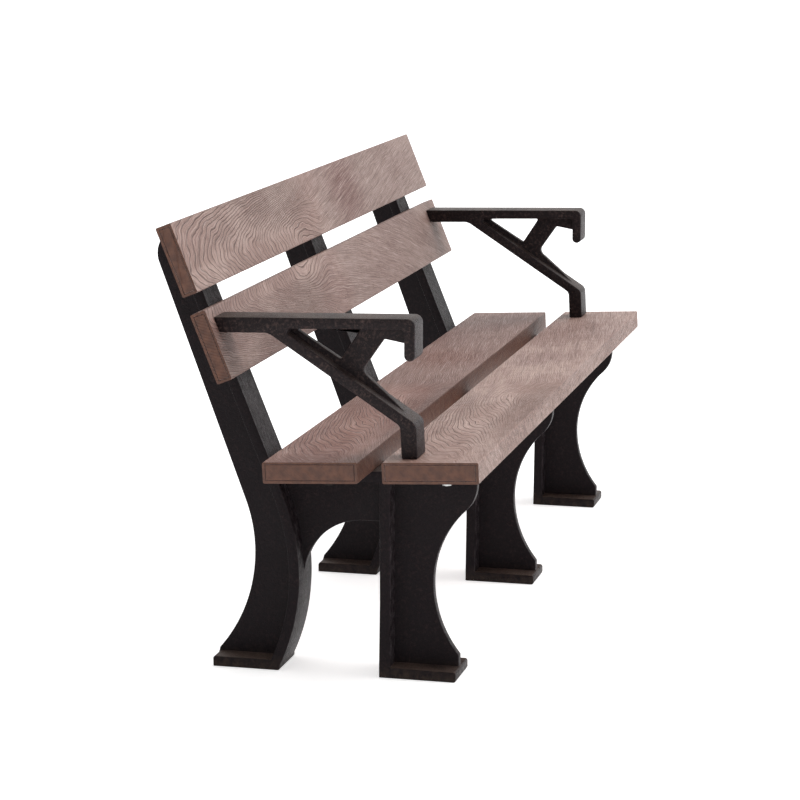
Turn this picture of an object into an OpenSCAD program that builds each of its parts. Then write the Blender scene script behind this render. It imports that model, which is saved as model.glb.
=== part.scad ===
// Park bench: four moulded boards bolted to three T-section frames, with an armrest near each end.
// X runs along the boards, +Y to the back and +Z up. The origin is on the ground, under the middle
// of the bench. Left and right are as seen by someone who stands in front and looks along +Y.

/* [Overall] */
// Length of every board
bench_length = 1800; // [1400:10:2400]
// Distance from a board's end to the middle of the end frame
frame_inset = 156; // [110:1:300]

/* [Seat] */
// Height of the front seat board's lower front edge
seat_z = 405; // [335:1:490]
// Slope of the seat, lower at the back
seat_tilt = 2.8; // [0:0.1:6]
// Width of a seat board, front to back
seat_board_w = 180; // [150:1:220]
// Thickness of a seat board
seat_board_t = 40; // [36:1:50]
// Gap between the two seat boards
seat_gap = 46; // [10:1:60]

/* [Back] */
// Lean of the back from the vertical
back_lean = 22; // [14:0.5:26]
// Distance from the seat's front edge back to the lower back board's front lower edge
back_set = 462; // [455:1:520]
// Height of that edge above the front seat board's lower front edge
back_rise = 172; // [120:1:220]
// Width of a back board, up the slope
back_board_w = 136; // [110:1:165]
// Thickness of a back board
back_board_t = 31; // [26:1:40]
// Gap between the two back boards
back_gap = 34; // [10:1:60]

/* [Boards' finish] */
// Radius along a board's long edges
board_edge_r = 3; // [1:0.5:6]

/* [Frames] */
// Width of the feet along the bench
foot_w = 104; // [96:1:130]
// Width of the flanges along the bench
flange_w = 90; // [84:1:96]
// Height at which the flanges have narrowed from the one to the other
flare_z = 140; // [60:1:200]
// Thickness of the flanges
flange_t = 20; // [14:1:26]
// Thickness of the web
web_t = 18; // [10:1:24]
// Front foot's tip, behind the seat's front edge
front_foot_y = 65.5; // [40:0.5:80]
// Length of the front foot
front_foot_l = 148; // [130:1:180]
// Front of the web under the seat, behind the seat's front edge
web_front_y = 36; // [20:1:60]
// Narrowest point of the front leg, behind the seat's front edge
front_waist_y = 118.5; // [100:0.5:130]
// Height of that point
front_waist_z = 178; // [150:1:200]
// Radius of the swell above that point
front_swell_r = 68; // [50:1:90]
// Drop from the flange under the seat to the middle of the swell
front_swell_drop = 14; // [4:1:24]
// Depth of the ledge in front of the front leg's toe
front_toe_in = 4; // [2:0.5:8]
// Height of that toe
front_toe_z = 41; // [30:1:60]
// Foremost point of the rear leg, behind the seat's front edge
rear_bulge_y = 370; // [350:1:380]
// Height of that point
rear_bulge_z = 180; // [150:1:200]
// Front tip of the rear foot, behind the seat's front edge
rear_foot_y = 407.5; // [395:0.5:425]
// Length of the rear foot
rear_foot_l = 132; // [125:1:160]
// Depth of the rear leg at its narrowest, flange included
rear_leg_d = 97; // [85:1:115]
// Height of the rear leg's hollow back
rear_waist_z = 220; // [190:1:250]
// Radius of the bend above that height
rear_bend_r = 285; // [200:1:320]
// Set-back of the rear leg's front face at the ground from the foot's tip
rear_foot_in = 4.5; // [1:0.5:8]
// Height of the rear leg's heel
rear_heel_z = 25; // [24:1:40]
// Radius of the post's round top
post_top_r = 48; // [38:1:56]
// Distance from the back boards to the middle of that radius
post_top_d = 24; // [18:1:30]
// How far the post stops short of the upper board's top edge
post_stop = 13; // [5:1:40]
// Height of the arch between the legs
arch_z = 291; // [240:1:300]
// Radius of the arch
arch_r = 116; // [90:1:125]
// Rounding of a foot's tip
foot_tip_r = 5; // [2:0.5:9]

/* [Armrests] */
// Distance from a board's end to the middle of the armrest
arm_inset = 62; // [45:1:90]
// Width of the armrest along the bench
arm_w = 65; // [50:1:80]
// Thickness of the armrest's web
arm_web_t = 16; // [8:1:20]
// Height of the rail's top at the front, above the seat below it
arm_rise = 257.5; // [235:0.5:270]
// Slope of the rail, lower at the back
arm_slope = 1.55; // [0:0.05:3]
// Thickness of the rail, the hook and the strut
arm_rim_t = 20.5; // [14:0.5:24]
// Thickness of the rail behind the strut
arm_tail_t = 28.5; // [24:0.5:32]
// Front of the armrest, behind the seat's front edge
arm_front_y = 126.5; // [110:0.5:150]
// Length of the turned-down front end
arm_hook_l = 78; // [60:1:95]
// Front of the armrest's foot, behind the seat's front edge
arm_foot_y = 121.5; // [100:0.5:150]
// Depth of the armrest's foot
arm_foot_d = 30; // [24:0.5:36]
// Height of the strut's lower bend above the seat
arm_knee_z = 61; // [50:1:75]
// Slope of the strut
strut_slope = 33.1; // [30:0.1:36]
// Rounding of the rail's front corner
arm_nose_r = 14; // [8:1:20]
// Rounding of the bend behind the armrest's foot
arm_knee_r = 14; // [6:1:20]
// Rounding of the bend in front of the armrest's foot
arm_shin_r = 18; // [10:1:24]
// Rounding of the bend from the strut into the tail
arm_tail_r = 30; // [10:1:40]
// Rounding of the foot's corners
arm_foot_r = 3; // [1:0.5:5]
// Depth of the web's strip under the rail, at the turned-down end
strip_d = 52; // [44:1:56]
// Front of the brace between the strip and the strut, behind the armrest's front
brace_x = 64; // [56:1:72]
// Its drop below the rail's front end
brace_drop = 42.5; // [38:0.5:48]
// Foot of the brace, behind the armrest's front
fork_x = 106; // [100:1:110]
// Its drop below the rail's front end
fork_drop = 103; // [98:0.5:108]
// Lower end of the web on the strut, behind the armrest's front
web_end_x = 46; // [40:1:52]
// Its drop below the rail's front end
web_end_drop = 155; // [150:1:160]
// Three-cornered opening: its front corner, behind the armrest's front
hole_x = 107; // [100:1:112]
// Its length
hole_l = 127; // [110:1:132]
// Its lowest corner, behind the armrest's front
hole_low_x = 145; // [136:1:154]
// The drop of that corner below the rail's front end
hole_low_drop = 83; // [76:1:86]

/* [Fasteners] */
// Diameter of a coach screw
screw_d = 10; // [6:1:12]
// Size across the flats of its head
head_af = 17; // [10:1:19]
// Height of its head
head_h = 7; // [4:0.5:8]
// Outer diameter of a washer
washer_d = 20; // [14:1:26]
// Thickness of a washer
washer_t = 2; // [1:0.5:3]
// Distance of a frame's screws from the middle of the frame
screw_offset = 27; // [26:0.5:28]
// Depth to which a screw goes into a seat board
seat_bite = 30; // [15:1:31]
// Depth to which a screw goes into a back board
back_bite = 20; // [12:1:21]
// Distance of an armrest's screws from its middle
arm_screw_offset = 16; // [14:1:18]
// Depth to which a screw goes up into an armrest's foot
foot_bite = 38; // [20:1:42]
// Depth to which a screw goes into an armrest's rail
rail_bite = 25; // [15:1:28]
// Where the rail's screws go in, down the back board from the rail's top
rail_screw_drop = 19.5; // [18.5:0.5:20.5]

/* [Clearances] */
// Between a screw and the hole it passes through, on the radius
hole_clear = 0.5; // [0.3:0.1:1.5]
// Between a screw and the hole it is driven into, on the radius
pilot_clear = 0.05; // [0.02:0.01:0.2]
// Between a screw's point and the end of its hole
tip_clear = 2; // [1:0.5:4]

/* [Hidden] */
FRAME_SIDES = [-1, 0, 1];
ARC_STEPS = 24;
CORNER_STEPS = 8;
ROUND = 48;
LAP = 8;
CUT = 1;
TIP_L = 8;
TIP_D = 3;
TOUCH = 0.05;
ARCH_FROM = 8;
SEAT_LIP = 4;
HEEL_R = 1;
HOOK_IN_R = 6;
STRUT_IN_R = 5;
FORK_R = 14;
BRACE_R = 6;
WEB_END_R = 30;
HOLE_R = 4;
WEB_RIM = 4;

frame_pitch = bench_length / 2 - frame_inset;
arm_x = bench_length / 2 - arm_inset;

// Directions: along the seat to the back and out of it, up the back and out through its rear
seat_along = [cos(seat_tilt), -sin(seat_tilt)];
seat_out = [sin(seat_tilt), cos(seat_tilt)];
back_up = [sin(back_lean), cos(back_lean)];
back_rear = [cos(back_lean), -sin(back_lean)];
back_foot = [back_set, seat_z + back_rise];

// Front leg
front_foot_back = front_foot_y + front_foot_l;
swell_z = on_seat(web_front_y)[1] - flange_t - front_swell_drop;
swell_mid = [web_front_y + front_swell_r, swell_z];
swell_gap = swell_mid[0] - front_waist_y;
swell_rise = swell_z - front_waist_z;
waist_up_r = (swell_gap * swell_gap + swell_rise * swell_rise - front_swell_r * front_swell_r)
    / (2 * (front_swell_r - swell_gap));
waist_up_mid = [front_waist_y - waist_up_r, front_waist_z];
waist_turn = asin(swell_rise / (waist_up_r + front_swell_r));
front_toe = [front_foot_y + front_toe_in, front_toe_z];
waist_down_r = arc_r_through(front_waist_y - front_toe[0], front_waist_z - front_toe[1]);

// Rear leg and post
post_front = back_foot + back_board_t * back_rear;
bulge_up_r = (post_front[0] - rear_bulge_y + (rear_bulge_z - post_front[1]) * tan(back_lean))
    / (1 - cos(back_lean) - sin(back_lean) * tan(back_lean));
bulge_up_mid = [rear_bulge_y + bulge_up_r, rear_bulge_z];
bulge_down_r = arc_r_through(rear_foot_y + rear_foot_in - rear_bulge_y, rear_bulge_z);
bulge_down_mid = [rear_bulge_y + bulge_down_r, rear_bulge_z];
rear_waist_y = rear_bulge_y + rear_leg_d;
rear_heel = [rear_foot_y + rear_foot_l, rear_heel_z];
rear_down_r = arc_r_through(rear_heel[0] - rear_waist_y, rear_waist_z - rear_heel[1]);
bend_mid = [rear_waist_y + rear_bend_r, rear_waist_z];
back_height = 2 * back_board_w + back_gap;
post_top_s = back_height - post_stop - post_top_r;
post_top_mid = post_front + post_top_s * back_up + post_top_d * back_rear;
post_end_s = post_top_s + sqrt(post_top_r * post_top_r - post_top_d * post_top_d);
post_span = bend_mid - post_top_mid;
post_turn = acos((rear_bend_r + post_top_r) / norm(post_span)) + atan2(post_span[1], post_span[0]);

// The middle of the whole depth, where the origin goes
front_y = board_edge_r * (seat_along[0] + seat_out[0] - 1);
middle_y = (front_y + post_top_mid[0] + post_top_r) / 2;

// Armrest: its rim's corners, each worked out where two of its lines meet
arm_top = on_seat_top(arm_front_y) + [0, arm_rise];
rail_dir = [cos(arm_slope), -sin(arm_slope)];
rail_under = [sin(arm_slope), cos(arm_slope)];
strut_dir = [cos(strut_slope), sin(strut_slope)];
strut_up = [-sin(strut_slope), cos(strut_slope)];
foot_front = on_seat_top(arm_foot_y);
foot_rear = foot_front + arm_foot_d * seat_along;
knee = foot_rear + arm_knee_z * seat_out;
rail_rear = cross_point(arm_top, rail_dir, back_foot, back_up);
rim_low = arm_top - arm_rim_t * rail_under;
tail_low = arm_top - arm_tail_t * rail_under;
strut_top = knee + arm_rim_t * strut_up;

// ---- Geometry helpers: points are [Y, Z] ----

// Radius of the arc that leaves a point square on and has come in by sag after rise
function arc_r_through(sag, rise) = (sag * sag + rise * rise) / (2 * sag);

// Points along an arc
function arc(mid, r, from, to, steps = ARC_STEPS) =
    [for (i = [0:steps]) let (a = from + (to - from) * i / steps) mid + r * [cos(a), sin(a)]];

// Where the line through p along u meets the line through q along v
function cross_point(p, u, q, v) =
    let (det = u[0] * v[1] - u[1] * v[0], d = q - p) p + u * (d[0] * v[1] - d[1] * v[0]) / det;

// A closed outline with every corner rounded; each corner is [y, z, radius]
function rounded(corners) = [
    for (i = [0:len(corners) - 1])
        let (
            n = len(corners),
            here = [corners[i][0], corners[i][1]],
            last = corners[(i + n - 1) % n],
            next = corners[(i + 1) % n],
            u = unit([last[0], last[1]] - here),
            v = unit([next[0], next[1]] - here),
            half = acos(max(-1, min(1, u * v))) / 2,
            r = corners[i][2],
            mid = here + unit(u + v) * r / sin(half),
            a0 = angle_of(here + u * r / tan(half) - mid),
            a1 = angle_of(here + v * r / tan(half) - mid),
            turn = wrap(a1 - a0)
        )
        each (r == 0 ? [here] : arc(mid, r, a0, a0 + turn, CORNER_STEPS))
];

function unit(v) = v / norm(v);
function angle_of(v) = atan2(v[1], v[0]);
function wrap(a) = a > 180 ? a - 360 : a < -180 ? a + 360 : a;

// Corners [y, z] with one radius for all
function with_radius(points, r) = [for (p = points) [p[0], p[1], r]];

// A point on the seat boards' underside, and one on their top, at a distance behind the front edge
function on_seat(y) = [y, seat_z - y * tan(seat_tilt)];
function on_seat_top(y) = on_seat(y) + [0, seat_board_t / cos(seat_tilt)];

// A corner of the armrest, measured back and down from its front top corner, with its rounding
function arm_point(back, drop, r) = [arm_top[0] + back, arm_top[1] - drop, r];

// Lifts a [Y, Z] outline into a plate w wide that stands across X at x
module plate(w, x = 0) {
    translate([x, -middle_y, 0])
        rotate([90, 0, 90])
            translate([0, 0, -w / 2])
                linear_extrude(w) children();
}

// Puts children at a [Y, Z] point and turns their +Z to point along dir, also [Y, Z]
module drive(x, at, dir) {
    translate([x, at[0] - middle_y, at[1]])
        rotate([-atan2(dir[0], dir[1]), 0, 0]) children();
}

// ---- Fasteners: the seat under the head is at the origin, and the shank goes along +Z ----

module coach_screw(length) {
    translate([0, 0, -washer_t - head_h])
        cylinder(d = head_af / cos(30), h = head_h, $fn = 6);
    translate([0, 0, -washer_t])
        cylinder(d = screw_d, h = length - TIP_L, $fn = ROUND);
    translate([0, 0, length - TIP_L - washer_t])
        cylinder(d1 = screw_d, d2 = TIP_D, h = TIP_L, $fn = ROUND);
}

module flat_washer() {
    translate([0, 0, -washer_t])
        difference() {
            cylinder(d = washer_d, h = washer_t, $fn = ROUND);
            translate([0, 0, -CUT])
                cylinder(r = screw_d / 2 + hole_clear, h = washer_t + 2 * CUT, $fn = ROUND);
        }
}

// The hole a screw passes through, and the blind one it is driven into
module clear_hole(length) {
    translate([0, 0, -CUT])
        cylinder(r = screw_d / 2 + hole_clear, h = length + 2 * CUT, $fn = ROUND);
}

module pilot_hole(start, length) {
    translate([0, 0, start - CUT])
        cylinder(r = screw_d / 2 + pilot_clear, h = length - start + CUT + tip_clear, $fn = ROUND);
}

// Where each set of screws goes in: the point under its head and the way it is driven
seat_rows = [seat_board_w / 2, seat_board_w * 3 / 2 + seat_gap];
back_rows = [back_board_w / 2, back_board_w * 3 / 2 + back_gap];
function seat_screw_at(row) = [0, seat_z] + seat_rows[row] * seat_along - flange_t * seat_out;
function back_screw_at(row) = post_front + back_rows[row] * back_up + flange_t * back_rear;
arm_foot_screw_at = [0, seat_z] + ((foot_front + foot_rear) / 2 - [0, seat_z]) * seat_along * seat_along;
arm_rail_screw_at = rail_rear - rail_screw_drop * back_up + back_board_t * back_rear;
seat_screw_l = washer_t + flange_t + seat_bite;
back_screw_l = washer_t + flange_t + back_bite;
foot_screw_l = washer_t + seat_board_t + foot_bite;
rail_screw_l = washer_t + back_board_t + rail_bite;

// Repeats children at both screws of every frame
module at_frame_screws(at, dir) {
    for (side = FRAME_SIDES, hand = [-1, 1])
        drive(side * frame_pitch + hand * screw_offset, at, dir) children();
}

module at_arm_screws(side, at, dir) {
    for (hand = [-1, 1])
        drive(side * arm_x + hand * arm_screw_offset, at, dir) children();
}

// ---- Frames ----

// The web's outline: front leg, seat beam, post, rear leg and the arch between the legs
module web_outline() {
    arch_mid = [rear_bulge_y - arch_r, arch_z - arch_r];
    inner = post_front + LAP * back_rear;
    top_turn = 90 - back_lean + asin((post_top_d - LAP) / post_top_r);
    polygon(concat(
        [[front_toe[0], flange_t - LAP]],
        arc([front_waist_y - waist_down_r, front_waist_z], waist_down_r,
            -asin((front_waist_z - front_toe_z) / waist_down_r), 0),
        arc(waist_up_mid, waist_up_r, 0, waist_turn),
        arc(swell_mid, front_swell_r, 180 + waist_turn, 180),
        [on_seat(web_front_y) - [0, LAP], on_seat(rear_bulge_y) - [0, LAP]],
        [cross_point(on_seat(0) - [0, LAP], seat_along, inner, back_up)],
        arc(post_top_mid, post_top_r, top_turn, post_turn),
        arc(bend_mid, rear_bend_r, 180 + post_turn, 180),
        arc([rear_waist_y + rear_down_r, rear_waist_z], rear_down_r, 180,
            180 + asin((rear_waist_z - rear_heel_z) / rear_down_r)),
        [[rear_heel[0], flange_t - LAP], [rear_foot_y + LAP * 2, flange_t - LAP]],
        arc(bulge_down_mid, bulge_down_r - LAP,
            180 + asin((rear_bulge_z - flange_t) / (bulge_down_r - LAP)), 180),
        arc(arch_mid, arch_r, ARCH_FROM, 90),
        [[front_foot_back - LAP, arch_z], [front_foot_back - LAP, flange_t - LAP]]
    ));
}

// The band down the front of the post and the rear leg
module post_flange_outline() {
    down_turn = asin(rear_bulge_z / bulge_down_r);
    in_down_r = bulge_down_r - flange_t;
    in_up_r = bulge_up_r - flange_t;
    polygon(concat(
        arc(bulge_down_mid, bulge_down_r, 180 + down_turn, 180),
        arc(bulge_up_mid, bulge_up_r, 180, 180 - back_lean),
        [post_front + post_end_s * back_up, post_front + post_end_s * back_up + flange_t * back_rear],
        arc(bulge_up_mid, in_up_r, 180 - back_lean, 180),
        arc(bulge_down_mid, in_down_r, 180, 180 + asin(rear_bulge_z / in_down_r))
    ));
}

// The band under the seat boards
module seat_flange_outline() {
    back_end = cross_point(on_seat(0) - [0, flange_t], seat_along, post_front + LAP * back_rear, back_up);
    top_end = cross_point(on_seat(0), seat_along, post_front + LAP * back_rear, back_up);
    front = on_seat(web_front_y - SEAT_LIP);
    polygon([front, top_end, back_end, front - flange_t * seat_out]);
}

module foot_outline(y, length) {
    polygon(rounded([
        [y, 0, foot_tip_r], [y + length, 0, HEEL_R],
        [y + length, flange_t, foot_tip_r], [y, flange_t, foot_tip_r]
    ]));
}

// The band down the back of the front leg
module leg_flange_outline() {
    polygon([
        [front_foot_back - flange_t, flange_t - LAP], [front_foot_back, flange_t - LAP],
        on_seat(front_foot_back) - [0, LAP], on_seat(front_foot_back - flange_t) - [0, LAP]
    ]);
}

// The frame as seen from the front: its bands narrow upwards from the feet
module flare_outline() {
    top = post_top_mid[1] + post_top_r;
    polygon([
        [-foot_w / 2, -CUT], [foot_w / 2, -CUT], [foot_w / 2, flange_t], [flange_w / 2, flare_z],
        [flange_w / 2, top], [-flange_w / 2, top], [-flange_w / 2, flare_z], [-foot_w / 2, flange_t]
    ]);
}

module frame(side) {
    x = side * frame_pitch;
    color([0.13, 0.12, 0.12]) difference() {
        union() {
            plate(web_t, x) web_outline();
            intersection() {
                union() {
                    plate(foot_w + CUT, x) post_flange_outline();
                    plate(foot_w + CUT, x) leg_flange_outline();
                    plate(foot_w + CUT, x) seat_flange_outline();
                    plate(foot_w + CUT, x) foot_outline(front_foot_y, front_foot_l);
                    plate(foot_w + CUT, x) foot_outline(rear_foot_y, rear_foot_l);
                }
                translate([x, middle_y + CUT, 0])
                    rotate([90, 0, 0])
                        linear_extrude(2 * (middle_y + CUT)) flare_outline();
            }
        }
        for (hand = [-1, 1], row = [0, 1]) {
            drive(x + hand * screw_offset, seat_screw_at(row), seat_out) clear_hole(flange_t);
            drive(x + hand * screw_offset, back_screw_at(row), -back_rear) clear_hole(flange_t);
        }
    }
}

module left_frame() { frame(-1); }
module middle_frame() { frame(0); }
module right_frame() { frame(1); }

// ---- Boards ----

// A board's section, from its corner along one direction and out along another
module board_outline(corner, along, out, w, t) {
    polygon(rounded(with_radius(
        [corner, corner + w * along, corner + w * along + t * out, corner + t * out], board_edge_r)));
}

module seat_board(row) {
    corner = [0, seat_z] + row * (seat_board_w + seat_gap) * seat_along;
    color([0.60, 0.51, 0.48]) difference() {
        plate(bench_length) board_outline(corner, seat_along, seat_out, seat_board_w, seat_board_t);
        at_frame_screws(seat_screw_at(row), seat_out) pilot_hole(flange_t, seat_screw_l - washer_t);
        if (row == 0)
            for (side = [-1, 1])
                at_arm_screws(side, arm_foot_screw_at, seat_out) clear_hole(seat_board_t);
    }
}

module back_board(row) {
    corner = back_foot + row * (back_board_w + back_gap) * back_up;
    color([0.60, 0.51, 0.48]) difference() {
        plate(bench_length) board_outline(corner, back_up, back_rear, back_board_w, back_board_t);
        at_frame_screws(back_screw_at(row), -back_rear) pilot_hole(flange_t, back_screw_l - washer_t);
        if (row == 0)
            for (side = [-1, 1])
                at_arm_screws(side, arm_rail_screw_at, -back_rear) clear_hole(back_board_t);
    }
}

module front_seat_board() { seat_board(0); }
module rear_seat_board() { seat_board(1); }
module lower_back_board() { back_board(0); }
module upper_back_board() { back_board(1); }

// ---- Armrests ----

// The rim: rail, hook, strut and foot in one band
module arm_rim_outline() {
    hook_end_r = arm_rim_t / 2 - TOUCH;
    strut_inner = cross_point(rim_low, rail_dir, strut_top, strut_dir);
    strut_knee = cross_point(foot_front, seat_out, strut_top, strut_dir);
    tail_bend = cross_point(tail_low, rail_dir, knee, strut_dir);
    tail_end = cross_point(tail_low, rail_dir, back_foot, back_up);
    polygon(rounded([
        [rail_rear[0], rail_rear[1], 0],
        arm_point(0, 0, arm_nose_r),
        arm_point(0, arm_hook_l, hook_end_r),
        arm_point(arm_rim_t, arm_hook_l, hook_end_r),
        [arm_top[0] + arm_rim_t, rim_low[1], HOOK_IN_R],
        [strut_inner[0], strut_inner[1], STRUT_IN_R],
        [strut_knee[0], strut_knee[1], arm_shin_r],
        [foot_front[0], foot_front[1], arm_foot_r],
        [foot_rear[0], foot_rear[1], arm_foot_r],
        [knee[0], knee[1], arm_knee_r],
        [tail_bend[0], tail_bend[1], arm_tail_r],
        [tail_end[0], tail_end[1], 0]
    ]));
}

// The web between the rail and the strut, with its three-cornered opening
module arm_web_outline() {
    mid_t = arm_rim_t / 2;
    knee_in = knee + mid_t * strut_up;
    tail_in = cross_point(arm_top - mid_t * rail_under, rail_dir, knee_in, strut_dir);
    hole_drop = arm_rim_t + WEB_RIM;
    difference() {
        polygon(rounded([
            arm_point(mid_t, strip_d, 0),
            arm_point(brace_x, brace_drop, BRACE_R),
            arm_point(fork_x, fork_drop, FORK_R),
            arm_point(web_end_x, web_end_drop, WEB_END_R),
            concat(knee_in - arm_rim_t * strut_dir + mid_t / 2 * strut_up, 0),
            concat(knee_in, 0),
            concat(tail_in, 0),
            arm_point(mid_t, mid_t, 0)
        ]));
        polygon(rounded([
            arm_point(hole_x, hole_drop, HOLE_R),
            arm_point(hole_x + hole_l, hole_drop + hole_l * tan(arm_slope), HOLE_R),
            arm_point(hole_low_x, hole_low_drop, HOLE_R)
        ]));
    }
}

module armrest(side) {
    color([0.13, 0.12, 0.12]) difference() {
        union() {
            plate(arm_w, side * arm_x) arm_rim_outline();
            plate(arm_web_t, side * arm_x) arm_web_outline();
        }
        at_arm_screws(side, arm_foot_screw_at, seat_out)
            pilot_hole(seat_board_t, foot_screw_l - washer_t);
        at_arm_screws(side, arm_rail_screw_at, -back_rear)
            pilot_hole(back_board_t, rail_screw_l - washer_t);
    }
}

module left_armrest() { armrest(-1); }
module right_armrest() { armrest(1); }

// ---- Fastener sets ----

module steel() { color([0.72, 0.73, 0.75]) children(); }

module seat_screws(row) {
    steel() at_frame_screws(seat_screw_at(row), seat_out) coach_screw(seat_screw_l);
}
module seat_washers(row) {
    steel() at_frame_screws(seat_screw_at(row), seat_out) flat_washer();
}
module back_screws(row) {
    steel() at_frame_screws(back_screw_at(row), -back_rear) coach_screw(back_screw_l);
}
module back_washers(row) {
    steel() at_frame_screws(back_screw_at(row), -back_rear) flat_washer();
}
module foot_screws(side) {
    steel() at_arm_screws(side, arm_foot_screw_at, seat_out) coach_screw(foot_screw_l);
}
module foot_washers(side) {
    steel() at_arm_screws(side, arm_foot_screw_at, seat_out) flat_washer();
}
module rail_screws(side) {
    steel() at_arm_screws(side, arm_rail_screw_at, -back_rear) coach_screw(rail_screw_l);
}
module rail_washers(side) {
    steel() at_arm_screws(side, arm_rail_screw_at, -back_rear) flat_washer();
}

left_frame();
middle_frame();
right_frame();
front_seat_board();
rear_seat_board();
lower_back_board();
upper_back_board();
left_armrest();
right_armrest();
seat_screws(0);  // front_seat_board_screws
seat_washers(0);  // front_seat_board_washers
seat_screws(1);  // rear_seat_board_screws
seat_washers(1);  // rear_seat_board_washers
back_screws(0);  // lower_back_board_screws
back_washers(0);  // lower_back_board_washers
back_screws(1);  // upper_back_board_screws
back_washers(1);  // upper_back_board_washers
foot_screws(-1);  // left_armrest_foot_screws
foot_washers(-1);  // left_armrest_foot_washers
rail_screws(-1);  // left_armrest_rail_screws
rail_washers(-1);  // left_armrest_rail_washers
foot_screws(1);  // right_armrest_foot_screws
foot_washers(1);  // right_armrest_foot_washers
rail_screws(1);  // right_armrest_rail_screws
rail_washers(1);  // right_armrest_rail_washers
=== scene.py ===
"""Looks of the park bench: moulded boards on black moulded frames, with two armrests.

Lengths in the classes are millimetres, as in the part's drawings; the meshes are in metres.
X runs along the boards, +Y to the back and +Z up, with the origin on the ground.
"""
import logging
import math
from dataclasses import dataclass
from enum import Enum
from typing import Any, Callable, Iterable

import bpy
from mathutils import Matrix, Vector, noise
from mathutils.bvhtree import BVHTree


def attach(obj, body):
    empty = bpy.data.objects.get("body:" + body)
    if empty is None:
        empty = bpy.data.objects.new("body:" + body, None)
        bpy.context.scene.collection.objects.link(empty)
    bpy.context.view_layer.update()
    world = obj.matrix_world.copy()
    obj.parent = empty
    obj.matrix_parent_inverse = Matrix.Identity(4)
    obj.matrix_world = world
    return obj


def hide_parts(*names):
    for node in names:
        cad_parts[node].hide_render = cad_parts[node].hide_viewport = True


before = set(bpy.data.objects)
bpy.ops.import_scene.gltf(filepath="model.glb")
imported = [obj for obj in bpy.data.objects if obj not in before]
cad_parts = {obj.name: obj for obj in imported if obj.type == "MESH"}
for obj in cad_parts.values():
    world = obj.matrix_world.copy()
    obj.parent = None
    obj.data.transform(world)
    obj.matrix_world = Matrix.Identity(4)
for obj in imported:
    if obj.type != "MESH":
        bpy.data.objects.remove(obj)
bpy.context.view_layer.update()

MM = 0.001
NEAR = 1e-5  # two places this close, in metres, count as one
BODY = "root"
LOG = logging.getLogger("bench")


# ---- Sizes shared with the part ----

@dataclass(frozen=True)
class BenchSizes:
    """The sizes of the bench that the boards and the fittings are placed by, in mm."""

    length: float = 1800.0
    seat_z: float = 405.0
    seat_tilt: float = 2.8
    seat_w: float = 180.0
    seat_t: float = 40.0
    seat_gap: float = 46.0
    back_lean: float = 22.0
    back_set: float = 462.0
    back_rise: float = 172.0
    back_w: float = 136.0
    back_t: float = 31.0
    back_gap: float = 34.0
    edge_r: float = 3.0
    middle_y: float = 326.458


SIZES = BenchSizes()


class Row(Enum):
    """The four boards, each with its CAD node's name."""

    FRONT_SEAT = "front_seat_board"
    REAR_SEAT = "rear_seat_board"
    LOWER_BACK = "lower_back_board"
    UPPER_BACK = "upper_back_board"


class Hand(Enum):
    """The two ends of the bench as seen by someone who stands in front of it."""

    LEFT = "left"
    RIGHT = "right"


# ---- Small helpers ----

def linear(hex_code: str) -> tuple[float, float, float, float]:
    """Turn an sRGB colour into the linear one that a shader wants.

    Args:
        hex_code: Six hex digits, such as "9f8c86".

    Returns:
        Red, green, blue and alpha.
    """
    parts = [int(hex_code[i:i + 2], 16) / 255 for i in (0, 2, 4)]
    red, green, blue = [c / 12.92 if c <= 0.04045 else ((c + 0.055) / 1.055) ** 2.4 for c in parts]
    return red, green, blue, 1.0


def waves(size_mm: float) -> float:
    """How many waves of a pattern go into a metre, from the size of one in mm."""
    return 1000.0 / size_mm


def add(tree: bpy.types.NodeTree, kind: str, inputs: dict[Any, Any] | None = None, out: Any = 0,
        **settings: Any) -> bpy.types.NodeSocket | None:
    """Add a shader node with its settings and its inputs.

    Args:
        tree: The node tree.
        kind: The node's type name, without "ShaderNode".
        inputs: For each input, by name or number, a value or an output socket to link from.
        out: The output that is wanted, by name or number.
        settings: Values for the node's own properties.

    Returns:
        The output socket, or None if the node has none.
    """
    node = tree.nodes.new("ShaderNode" + kind)
    for name, value in settings.items():
        setattr(node, name, value)
    for key, value in (inputs or {}).items():
        if isinstance(value, bpy.types.NodeSocket):
            tree.links.new(value, node.inputs[key])
        else:
            node.inputs[key].default_value = value
    return node.outputs[out] if node.outputs else None


def new_material(name: str) -> tuple[bpy.types.Material, bpy.types.NodeTree]:
    """Make an empty node material.

    Args:
        name: The material's name.

    Returns:
        The material and its node tree.
    """
    material = bpy.data.materials.new(name)
    material.use_nodes = True
    material.node_tree.nodes.clear()
    return material, material.node_tree


def deselect_all() -> None:
    """Leave nothing selected."""
    bpy.ops.object.select_all(action="DESELECT")


def make_active(piece: bpy.types.Object) -> None:
    """Select one object alone and make it the active one."""
    deselect_all()
    piece.select_set(True)
    bpy.context.view_layer.objects.active = piece


def edit(piece: bpy.types.Object, *steps: Callable[[], Any]) -> None:
    """Run operators on a piece in edit mode.

    Args:
        piece: The piece to edit.
        steps: The operators' calls, in order.
    """
    make_active(piece)
    bpy.ops.object.mode_set(mode="EDIT")
    for step in steps:
        step()
    bpy.ops.object.mode_set(mode="OBJECT")


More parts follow.
